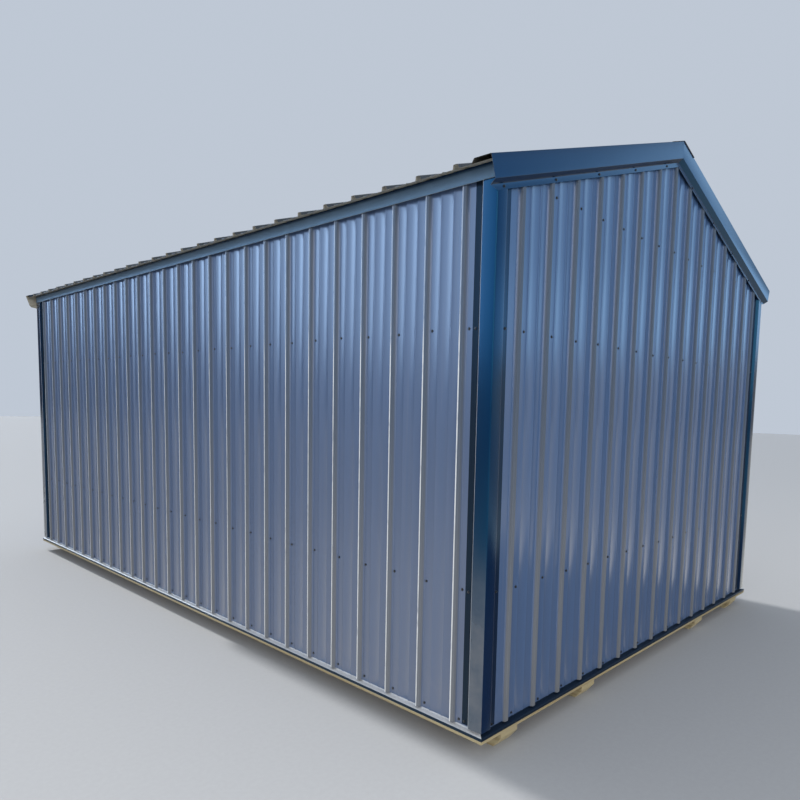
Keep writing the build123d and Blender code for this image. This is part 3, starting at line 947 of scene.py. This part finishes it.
def skid(name, middle):
    """One sawn timber with worn edges and a cut-back lower edge at both ends.

    The section is a rectangle with round corners: each quarter's points are radius times cosine and sine
    about that corner's centre. Along the timber the lower points rise on to the sloping cut, (distance past
    its start) times its height / its length, the ends draw in by the radius, and slow sine waves move the
    faces.
    """
    half_w, half_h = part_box(name)[1].x - middle, SKID_HEIGHT / 2
    quarter = np.linspace(0, math.pi / 2, SKID_ARRIS_POINTS)
    angles = np.concatenate([quarter + turn * math.pi / 2 for turn in range(4)])
    corner_z = np.repeat([1, -1, -1, 1], SKID_ARRIS_POINTS) * (half_h - SKID_ARRIS)
    corner_x = np.repeat([1, 1, -1, -1], SKID_ARRIS_POINTS) * (half_w - SKID_ARRIS)
    z = corner_z + SKID_ARRIS * np.cos(angles)
    x = corner_x + SKID_ARRIS * np.sin(angles)
    inside = np.linspace(-SKID_REACH + SKID_ROWS_END, SKID_REACH - SKID_ROWS_END, SKID_ROWS)
    near_end = SKID_REACH - np.array([0, 2 * MM, SKID_ARRIS, 12 * MM, 25 * MM, SKID_BEVEL_LENGTH, 80 * MM])
    y = np.concatenate([-near_end, inside, near_end[::-1]])[:, None]
    drawn = np.interp(SKID_REACH - np.abs(y), [0, 2 * MM, SKID_ARRIS], [SKID_ARRIS, 1.5 * MM, 0])
    phase = rng.uniform(0, 2 * math.pi, 6)
    slow, quick = SKID_WAVE_RATES
    wave = np.sin(y * slow + angles * 2 + phase[0]) + np.sin(y * quick + angles * 3 + phase[1])
    inwards = drawn + SKID_WAVE * (2 - wave)
    x = x * (1 - inwards / half_w)
    z = z * (1 - inwards / half_h) + half_h
    past = np.clip(np.abs(y) - (SKID_REACH - SKID_BEVEL_LENGTH), 0, None)
    cut = past * SKID_BEVEL_HEIGHT / SKID_BEVEL_LENGTH
    z = np.where(z < half_h, np.maximum(z - SKID_SETTLE, cut), z)
    rows, columns = len(y), len(angles)
    verts = np.stack([x + middle, y + 0 * x, z + 0 * x], -1).reshape(-1, 3)
    end = np.arange(columns)[None]
    body = verts, [grid_faces(rows, columns), end + (rows - 1) * columns, end[:, ::-1]]
    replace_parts(piece(f"{name}_worn", body, "treated_timber", TREATED["Y"]), name)


for side in SIDES:
    for place in ("outer", "inner"):
        low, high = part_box(f"skid_{side}_{place}")
        skid(f"skid_{side}_{place}", (low.x + high.x) / 2)


# Screws in the sheets and the trims

wall_screws = [(wall_axes(side), screw_grid(WALL_RIBS + WALL_SCREW_SHIFT, FLAT_OUT, WALL_ROWS))
               for side in SIDES]
gable_screws = [(wall_axes(end), screw_grid(GABLE_RIBS - GABLE_SCREW_SHIFT, FLAT_OUT, GABLE_ROWS))
                for end in ENDS]
screws("wall_screw", "wall_steel", wall_screws + gable_screws)

roof_screws, trim_screws = [], []
TRIM_TOP = TRIM_SEAT + TRIM
for side in SIDES:
    axes = slope_axes(side)
    ribs = rib_places(HALF_LENGTH, ROOF_RIB_SHIFT * (1 if side == "left" else -1))
    roof_screws.append((axes, screw_grid(ribs + ROOF_SCREW_SHIFT, FLAT_OUT, PURLIN_ROWS[:-1])))
    verge = HALF_LENGTH + RAKE_FASCIA - RAKE_ROOF_LEG - TRIM_BEVEL - TRIM_FLANGE / 2
    verge_rows = np.arange(VERGE_SCREW_START, SLOPE_LENGTH - VERGE_SCREW_END, VERGE_SCREW_PITCH)
    trim_screws.append((axes, screw_grid([-verge, verge], TRIM_TOP, verge_rows)))
    cap_row = SLOPE_LENGTH - RIDGE_WING + CAP_SCREW_EDGE
    trim_screws.append((axes, screw_grid(ribs, CAP_OUT + TRIM, [cap_row])))
for wall in ENDS + SIDES:
    kind, rows = ("gable", GABLE_ROWS[:3]) if wall in ENDS else ("side", WALL_ROWS)
    flange = half_run(wall) + FACE_OUT - CORNER_FACE[kind] - TRIM_BEVEL - TRIM_FLANGE / 2
    trim_screws.append((wall_axes(wall), screw_grid([-flange, flange], TRIM_TOP, rows)))
KICK_MIDDLE = (RAKE_RETURN_FOOT - RAKE_KICK / 2) / math.cos(PITCH)
for end in ENDS:
    across = np.arange(RAKE_SCREW_START, HALF_WIDTH, RAKE_SCREW_PITCH)
    height = EAVE_HEIGHT + (HALF_WIDTH - np.abs(across)) * SLOPE + KICK_MIDDLE
    out = np.full(len(across), FACE_OUT + TRIM_GAP + TRIM)
    along = across * (-1 if end == "front" else 1)
    trim_screws.append((wall_axes(end), np.stack([along, out, height], 1)))
screws("roof_screw", "roof_steel", roof_screws)
screws("trim_screw", "trim_steel", trim_screws)


# Camera at the photograph's viewing angle, lamps, floor and surroundings

IMAGE = 800
SENSOR = 36.0
FOCAL_PIXELS = 649.3
AXIS_PIXEL = (450.8, 469.0)
EYE = (-4.045, -4.825, 1.626)
YAW, TILT, ROLL = math.radians(48.25), math.radians(-5.37), math.radians(1.43)
KEY_ANGLE = math.radians(1.5)
FLOOR_REACH = 60.0


def add_camera():
    """Camera turned by yaw about up, then tilt, then roll, with its axis at a given pixel of the image."""
    data = bpy.data.cameras.new("camera")
    data.sensor_width = SENSOR
    data.lens = FOCAL_PIXELS * SENSOR / IMAGE
    data.shift_x = (IMAGE / 2 - AXIS_PIXEL[0]) / IMAGE
    data.shift_y = (AXIS_PIXEL[1] - IMAGE / 2) / IMAGE
    camera = bpy.data.objects.new("camera", data)
    yaw = Matrix.Rotation(-YAW, 4, "Z")
    tilt = Matrix.Rotation(math.pi / 2 + TILT, 4, "X")
    roll = Matrix.Rotation(ROLL, 4, "Z")
    camera.matrix_world = Matrix.Translation(EYE) @ yaw @ tilt @ roll
    bpy.context.scene.collection.objects.link(camera)
    bpy.context.scene.camera = camera


def add_light(name, place, target, size, power):
    """Soft white rectangular lamp that faces a point."""
    data = bpy.data.lights.new(name, "AREA")
    data.shape = "RECTANGLE"
    data.size, data.size_y = size
    data.energy = power
    lamp = bpy.data.objects.new(name, data)
    lamp.location = place
    lamp.rotation_euler = (Vector(target) - Vector(place)).to_track_quat("-Z", "Y").to_euler()
    lamp.visible_camera = False
    bpy.context.scene.collection.objects.link(lamp)


def add_key(direction, power):
    """Distant lamp with soft edges, seen from the shed in a direction."""
    data = bpy.data.lights.new("key", "SUN")
    data.energy = power
    data.angle = KEY_ANGLE
    lamp = bpy.data.objects.new("key", data)
    lamp.rotation_euler = Vector(direction).to_track_quat("Z", "Y").to_euler()
    bpy.context.scene.collection.objects.link(lamp)


def add_floor():
    """Pale floor, wide enough to reach the horizon. In reflections it glows: a painted reflection of sunlit
    ground, with a painted shadow where the shed shades it.
    """
    mesh = bpy.data.meshes.new("floor")
    corners = [(x * FLOOR_REACH, y * FLOOR_REACH, 0) for x, y in ((-1, -1), (1, -1), (1, 1), (-1, 1))]
    mesh.from_pydata(corners, [], [(0, 1, 2, 3)])
    finish = Finish("pale_floor", emission_strength=1.0)
    speckle = finish.noise(40.0, 4.0)
    seen = finish.reflected()
    ahead = 1.0 - finish.y.between(-3.3, -2.9)
    shaded_across = finish.x.between(-2.2, -1.95) * (1.0 - finish.x.between(1.8, 2.3))
    shaded = ahead * finish.y.between(-7.6, -7.0) * shaded_across
    beside_level = 1.35 - finish.y.between(-3.5, 5.5) * 0.9
    ahead_level = 1.35 - finish.x.between(1.5, 6.5) * 0.75
    # Painted reflection: how brightly the floor glows where reflections see it, with the painted shadow
    # taken off
    level = beside_level + ahead * (ahead_level - beside_level) - shaded * 1.27
    finish.set("base_color", finish.mix(seen, finish.mix(speckle, grey(0.34), grey(0.38)), grey(0.0)))
    finish.set("emission_color", finish.mix(seen, grey(0.0), finish.lit(level, (1.0, 0.96, 0.86, 1.0))))
    finish.set("roughness", speckle * 0.1 + 0.85)
    mesh.materials.append(finish.material)
    floor = bpy.data.objects.new("floor", mesh)
    bpy.context.scene.collection.objects.link(floor)


def add_world():
    """Pale even surroundings. In reflections the sky and the horizon differ in level from side to side."""
    world = bpy.data.worlds.new("surroundings")
    world.use_nodes = True
    sky = Nodes(world.node_tree, "Generated")
    background = world.node_tree.nodes["Background"]
    behind = sky.y.between(0.60, 0.95)
    ahead = 1.0 - sky.y.between(-0.3, 0.3)
    beside = sky.y.between(0.0, 0.62)
    left_level = 0.1 + beside * 0.9 + sky.y.between(0.66, 0.84) * 0.8 - sky.y.between(0.90, 0.96) * 1.7
    left_level = left_level * (1.0 - sky.x.between(0.05, 0.3) * 0.6)
    left_horizon = sky.lit(1.1 - behind, (0.80, 0.90, 1.10, 1.0))
    right_horizon = sky.lit(1.3 - sky.x.between(0.78, 0.97) * 0.95, (1.0, 0.93, 0.78, 1.0))
    left_sky = sky.lit(left_level, (2.6, 3.8, 5.6, 1.0))
    right_level = 1.2 + sky.x.between(0.78, 0.88) * 0.3 - sky.x.between(0.90, 0.97) * 0.7
    right_level = right_level - sky.z.between(0.14, 0.24) * 0.6
    right_sky = sky.lit(right_level, (1.2, 2.0, 3.0, 1.0))
    height = (sky.z - sky.y.between(0.88, 0.96) * 0.15).between(0.05, 0.11)
    left = sky.mix(height, left_horizon, left_sky)
    right = sky.mix(height, right_horizon, right_sky)
    facing = (1.0 - sky.x.between(0.45, 0.65)) * (1.0 - sky.y.between(-0.15, 0.10))
    around = sky.mix(facing, sky.mix(ahead, left, right), (0.30, 0.34, 0.40, 1.0))
    around = sky.mix(sky.z.between(0.38, 0.60), around, (0.60, 0.70, 0.85, 1.0))
    colour = sky.mix(sky.reflected(), (0.72, 0.80, 0.92, 1.0), around)
    sky.tree.links.new(colour.socket, background.inputs["Color"])
    background.inputs["Strength"].default_value = 0.72
    bpy.context.scene.world = world


add_camera()
add_key((-0.0044, 0.8387, 0.5446), 3.4)
add_light("overhead", (0.0, 0.0, 11.0), (0.0, 0.0, 0.0), (8.0, 8.0), 150.0)
add_light("fill_left", (-10.0, -5.0, 4.5), (0.0, 0.0, 1.3), (7.0, 5.0), 330.0)
add_light("fill_front", (-3.0, -12.0, 4.5), (0.0, 0.0, 1.3), (8.0, 5.0), 420.0)
add_floor()
add_world()
bpy.context.scene.view_settings.view_transform = "Standard"
